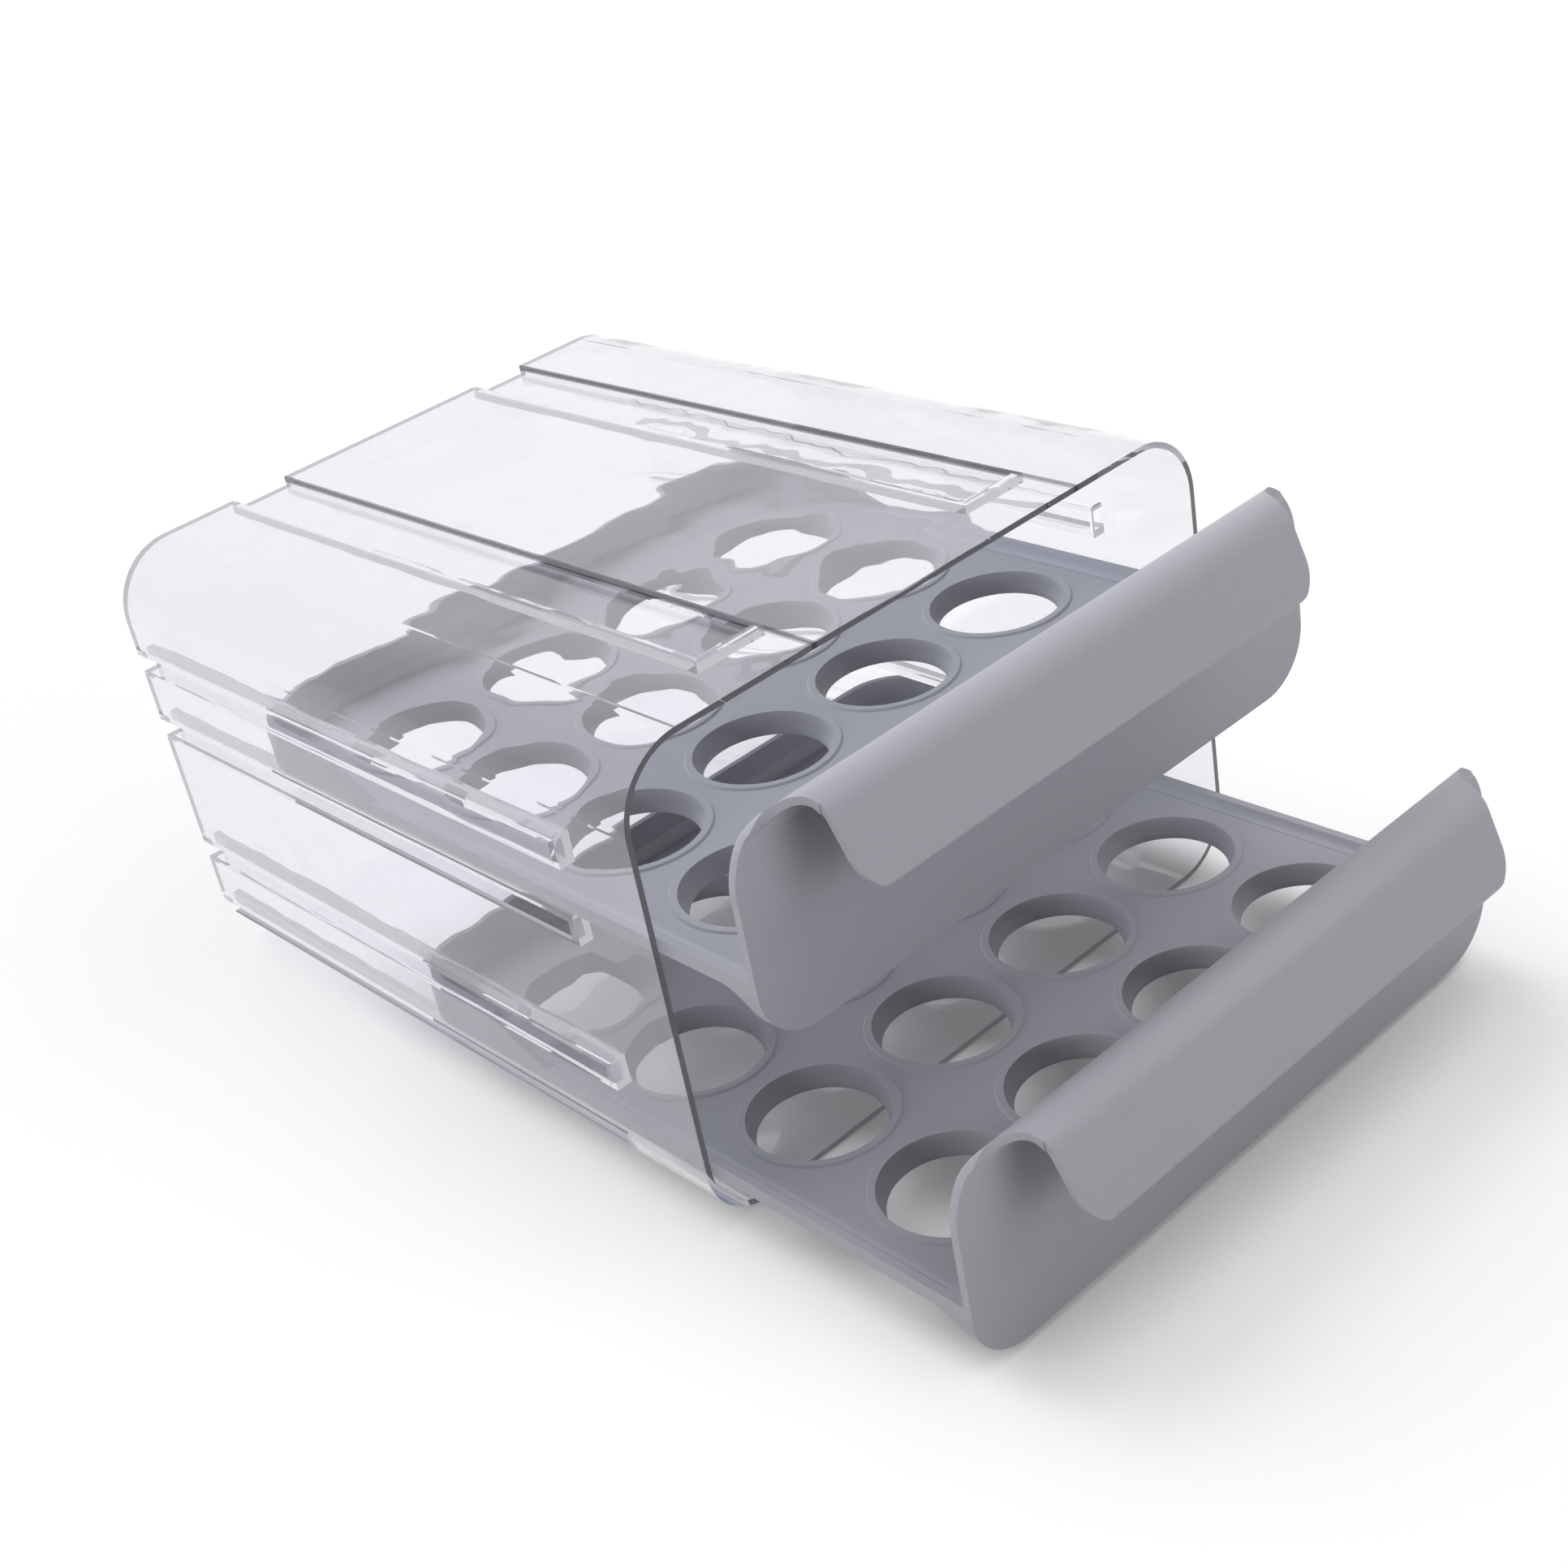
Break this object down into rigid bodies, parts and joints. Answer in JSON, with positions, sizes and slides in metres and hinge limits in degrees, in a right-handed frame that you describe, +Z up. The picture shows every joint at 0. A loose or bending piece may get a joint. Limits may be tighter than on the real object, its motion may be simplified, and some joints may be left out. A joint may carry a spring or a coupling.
{
  "type": "egg storage container",
  "caption": "Clear rectangular case, open in front, with sliding grey egg trays on side rails, each with round egg cells and a panel that rolls over into a pull lip.",
  "frame": {"origin": "centre of the case's flat underside", "axes": "+Z up, -Y out of the open front, the way the drawers pull, +X to the right seen from the front"},
  "size_m": [0.222, 0.373, 0.1485],
  "materials": {
    "clear_case": "gloss, clear moulded plastic",
    "grey_tray_upper": "satin",
    "grey_tray_lower": "satin"
  },
  "bodies": {
    "case": {"outer_case": "clear_case"},
    "upper_tray": {"upper_drawer": "grey_tray_upper"},
    "lower_tray": {"lower_drawer": "grey_tray_lower"}
  },
  "joints": [
    {"name": "upper_slide", "type": "slide", "parent": "case", "child": "upper_tray", "axis": [0, -1, 0], "range_m": [-0.0364, 0.126]},
    {"name": "lower_slide", "type": "slide", "parent": "case", "child": "lower_tray", "axis": [0, -1, 0], "range_m": [-0.0934, 0.069]}
  ]
}
